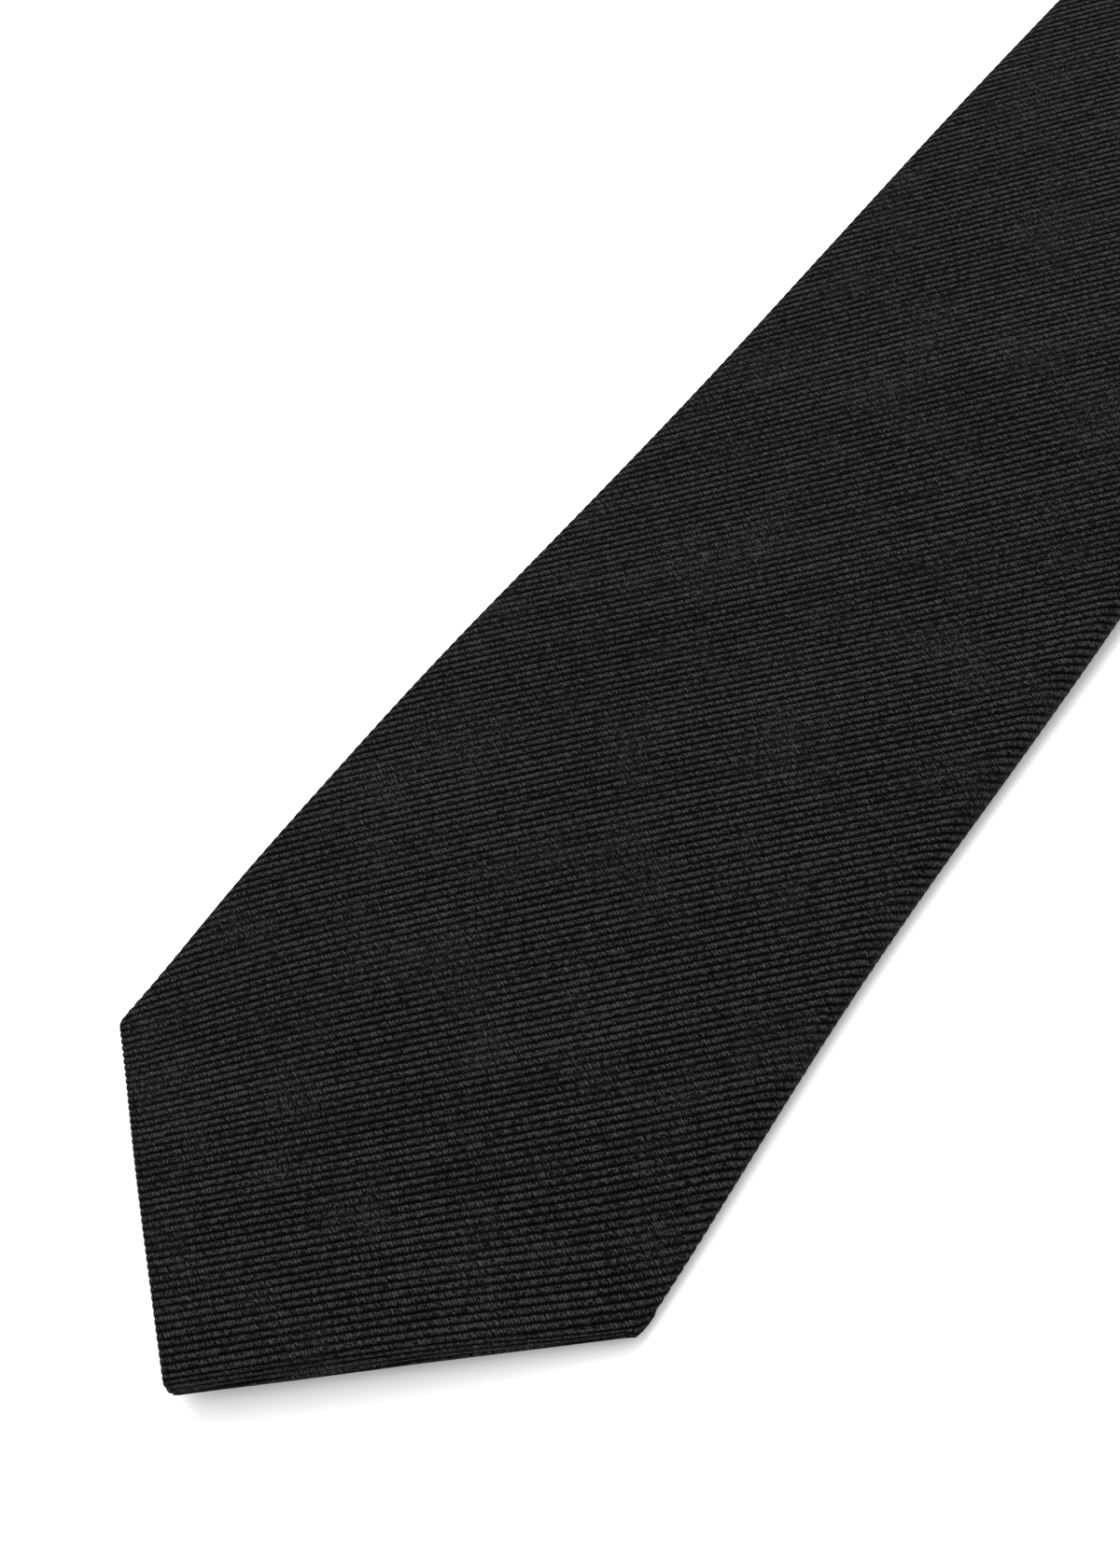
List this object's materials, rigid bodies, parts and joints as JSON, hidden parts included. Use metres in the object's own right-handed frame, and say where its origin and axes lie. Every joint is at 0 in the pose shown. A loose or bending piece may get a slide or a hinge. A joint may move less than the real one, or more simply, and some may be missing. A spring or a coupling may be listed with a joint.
{
  "type": "necktie",
  "caption": "Classic necktie laid out straight: a wide pointed blade, narrow neck and pointed tail, folded round an interlining, with lining tips and a keeper loop on the back.",
  "frame": {"origin": "on the surface it lies on, under the middle of its length and width", "axes": "+Y from the blade's point to the tail's point, +Z out of the front, +X to the right seen from above with the blade's point nearest"},
  "size_m": [0.07, 1.48, 0.0054],
  "materials": {
    "cloth": "matt",
    "lining": "satin",
    "interlining": "matt",
    "thread": "satin",
    "label": "satin"
  },
  "bodies": {
    "blade": {"blade_shell_lower": "cloth", "interlining_blade": "interlining", "slip_stitch_blade": "thread", "blade_tipping": "lining", "blade_bar_tack": "thread", "keeper_loop": "cloth", "keeper_stitch_left": "thread", "keeper_stitch_right": "thread", "maker_label_blank": "label", "care_label_blank": "label"},
    "neck_front": {"blade_shell_upper": "cloth", "neck_shell_front": "cloth", "interlining_neck_front": "interlining", "slip_stitch_neck_front": "thread", "blade_seam_thread": "thread"},
    "neck_rear": {"neck_shell_rear": "cloth", "tail_shell_upper": "cloth", "interlining_neck_rear": "interlining", "slip_stitch_neck_rear": "thread", "tail_seam_thread": "thread"},
    "tail": {"tail_shell_lower": "cloth", "interlining_tail": "interlining", "slip_stitch_tail": "thread", "tail_tipping": "lining", "tail_bar_tack": "thread"}
  },
  "joints": [
    {"name": "blade_fold", "type": "hinge", "parent": "neck_front", "child": "blade", "pos_m": [0, -0.3774, 0.0073], "axis": [-1, 0, 0], "range_deg": [0, 180]},
    {"name": "neck_fold", "type": "hinge", "parent": "neck_front", "child": "neck_rear", "pos_m": [0, 0, -0.0035], "axis": [-1, 0, 0], "range_deg": [0, 180]},
    {"name": "tail_fold", "type": "hinge", "parent": "neck_rear", "child": "tail", "pos_m": [0, 0.3774, 0.0073], "axis": [1, 0, 0], "range_deg": [0, 180]}
  ]
}
